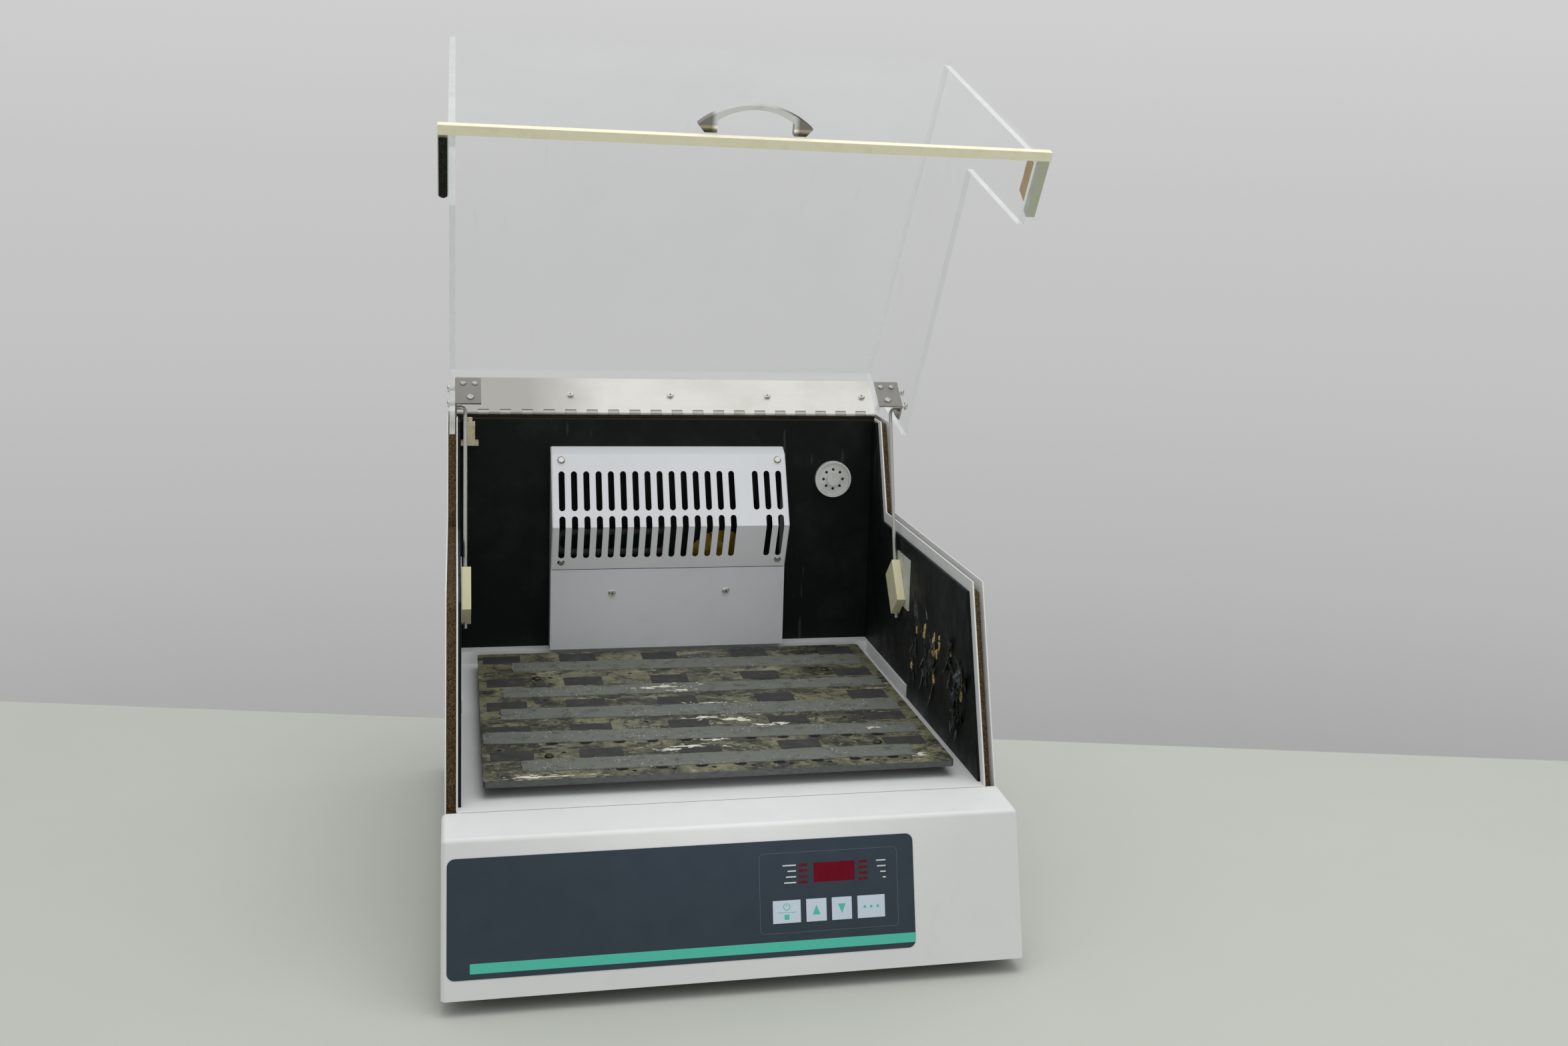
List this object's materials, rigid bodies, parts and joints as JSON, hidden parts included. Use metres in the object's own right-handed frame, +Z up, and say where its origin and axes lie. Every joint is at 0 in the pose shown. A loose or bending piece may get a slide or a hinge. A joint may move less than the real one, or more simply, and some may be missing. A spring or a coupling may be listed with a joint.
{
  "type": "incubated benchtop shaker",
  "caption": "Benchtop incubated orbital shaker: insulated chamber with a raised clear lid on stays, orbiting platform, rear air hood and a leaning control panel.",
  "frame": {"origin": "on the bench, under the middle of the whole instrument's bounding box", "axes": "+X to the operator's right, +Y towards the back, +Z up; the operator stands at -Y"},
  "size_m": [0.538, 0.7077, 0.8689],
  "materials": {
    "case_coat": "satin",
    "zinc_sheet": "satin",
    "liner_black": "matte",
    "foam_brown": "matte",
    "acrylic": "gloss",
    "cream_plastic": "satin",
    "steel": "satin",
    "aluminium_plate": "satin",
    "chromed": "polished",
    "bright_screws": "polished",
    "hood_grey": "satin",
    "platform_anodised": "satin",
    "grey_tape": "matte",
    "brass_wheel": "satin",
    "dark_plastic": "matte",
    "cast": "matte",
    "feet_rubber": "matte",
    "overlay_navy": "satin",
    "window_red": "gloss",
    "board_green": "satin",
    "key_pale": "satin",
    "lamp_lens": "gloss",
    "vent_white": "satin",
    "bar_grey": "satin"
  },
  "bodies": {
    "case": {"feet": "feet_rubber", "base_pan": "zinc_sheet", "front_bezel": "case_coat", "outer_side_left": "case_coat", "outer_side_right": "case_coat", "outer_back": "case_coat", "chamber_shell": "case_coat", "chamber_deck": "case_coat", "chamber_liner": "liner_black", "channel_foam": "foam_brown", "roof_rail": "zinc_sheet", "hinge_leaf_fixed": "aluminium_plate", "hinge_pin": "steel", "cover_box": "hood_grey", "cover_hood": "hood_grey", "case_screws": "bright_screws", "fan_motor": "steel", "heater_coil": "steel", "vent_plug": "vent_white", "guide_plates": "aluminium_plate", "lid_switch": "cream_plastic", "bearing_housings": "cast", "shaft_bearings": "steel", "drive_motor": "cast", "drive_belt": "dark_plastic", "front_overlay": "overlay_navy", "display_window": "window_red", "control_board": "board_green", "indicator_lamps": "lamp_lens", "power_supply": "steel", "power_inlet": "dark_plastic"},
    "lid": {"lid_sheet": "acrylic", "lid_sides": "acrylic", "hinge_leaf_lid": "aluminium_plate", "lid_edge_strip": "cream_plastic", "lid_bars": "bar_grey", "lid_handle": "chromed", "lid_brackets": "steel", "lid_screws": "bright_screws"},
    "guide_left": {"guide_block_left": "cream_plastic"},
    "guide_right": {"guide_block_right": "cream_plastic"},
    "stay_left": {"stay_rod_left": "steel"},
    "stay_right": {"stay_rod_right": "steel"},
    "plunger": {"switch_plunger": "cream_plastic"},
    "fan": {"fan_wheel": "brass_wheel"},
    "drive": {"main_shaft": "steel", "main_pulley": "cast"},
    "shaker": {"platform": "platform_anodised", "grip_strips": "grey_tape", "shaker_carrier": "aluminium_plate", "platform_screws": "bright_screws", "crank_bearings": "steel"},
    "idler_left": {"idler_shaft_left": "steel"},
    "idler_right": {"idler_shaft_right": "steel"},
    "motor_rotor": {"motor_pulley": "aluminium_plate"},
    "start_key": {"key_start": "key_pale"},
    "up_key": {"key_up": "key_pale"},
    "down_key": {"key_down": "key_pale"},
    "select_key": {"key_select": "key_pale"},
    "rocker": {"power_switch": "dark_plastic"}
  },
  "joints": [
    {"name": "lid_hinge", "type": "hinge", "parent": "case", "child": "lid", "pos_m": [0, 0.2898, 0.4466], "axis": [1, 0, 0], "range_deg": [0, 53.3]},
    {"name": "guide_left_swivel", "type": "hinge", "parent": "case", "child": "guide_left", "pos_m": [-0.2434, 0.1004, 0.27], "axis": [1, 0, 0], "range_deg": [-27.29, 0]},
    {"name": "stay_left_slide", "type": "slide", "parent": "guide_left", "child": "stay_left", "axis": [0, 0.2761, 0.9611], "range_m": [-0.07639, 0]},
    {"name": "guide_right_swivel", "type": "hinge", "parent": "case", "child": "guide_right", "pos_m": [0.2434, 0.1004, 0.27], "axis": [1, 0, 0], "range_deg": [-27.29, 0]},
    {"name": "stay_right_slide", "type": "slide", "parent": "guide_right", "child": "stay_right", "axis": [0, 0.2761, 0.9611], "range_m": [-0.07639, 0]},
    {"name": "plunger_press", "type": "slide", "parent": "case", "child": "plunger", "axis": [0, 0, 1], "range_m": [-0.0015, 0], "stiffness_N_per_m": 300, "springref_m": 0.003},
    {"name": "fan_spin", "type": "hinge", "parent": "case", "child": "fan", "pos_m": [0.062, 0.262, 0.261], "axis": [0, 1, 0], "continuous": true},
    {"name": "drive_spin", "type": "hinge", "parent": "case", "child": "drive", "pos_m": [0, -0.0027, 0.1], "axis": [0, 0, 1], "continuous": true},
    {"name": "platform_crank", "type": "hinge", "parent": "drive", "child": "shaker", "pos_m": [0, 0.01, 0.14], "axis": [0, 0, 1], "continuous": true},
    {"name": "idler_left_spin", "type": "hinge", "parent": "case", "child": "idler_left", "pos_m": [-0.165, 0.1123, 0.1], "axis": [0, 0, 1], "continuous": true},
    {"name": "idler_right_spin", "type": "hinge", "parent": "case", "child": "idler_right", "pos_m": [0.165, 0.1123, 0.1], "axis": [0, 0, 1], "continuous": true},
    {"name": "motor_spin", "type": "hinge", "parent": "case", "child": "motor_rotor", "pos_m": [0.135, -0.1476, 0.1], "axis": [0, 0, 1], "continuous": true},
    {"name": "start_press", "type": "slide", "parent": "case", "child": "start_key", "axis": [0, 0.9569, -0.2903], "range_m": [0, 0.0006], "stiffness_N_per_m": 600, "springref_m": -0.0015},
    {"name": "up_press", "type": "slide", "parent": "case", "child": "up_key", "axis": [0, 0.9569, -0.2903], "range_m": [0, 0.0006], "stiffness_N_per_m": 600, "springref_m": -0.0015},
    {"name": "down_press", "type": "slide", "parent": "case", "child": "down_key", "axis": [0, 0.9569, -0.2903], "range_m": [0, 0.0006], "stiffness_N_per_m": 600, "springref_m": -0.0015},
    {"name": "select_press", "type": "slide", "parent": "case", "child": "select_key", "axis": [0, 0.9569, -0.2903], "range_m": [0, 0.0006], "stiffness_N_per_m": 600, "springref_m": -0.0015},
    {"name": "power_rock", "type": "hinge", "parent": "case", "child": "rocker", "pos_m": [-0.14, 0.3274, 0.062], "axis": [1, 0, 0], "range_deg": [-16, 0]}
  ],
  "couplings": [
    {"joint": "guide_left_swivel", "follows": "lid_hinge", "ratio": -0.50817},
    {"joint": "stay_left_slide", "follows": "lid_hinge", "m_per_rad": -0.081578},
    {"joint": "guide_right_swivel", "follows": "lid_hinge", "ratio": -0.50817},
    {"joint": "stay_right_slide", "follows": "lid_hinge", "m_per_rad": -0.081578},
    {"joint": "platform_crank", "follows": "drive_spin", "ratio": -1},
    {"joint": "idler_left_spin", "follows": "drive_spin", "ratio": 1},
    {"joint": "idler_right_spin", "follows": "drive_spin", "ratio": 1},
    {"joint": "motor_spin", "follows": "drive_spin", "ratio": 3.3}
  ]
}
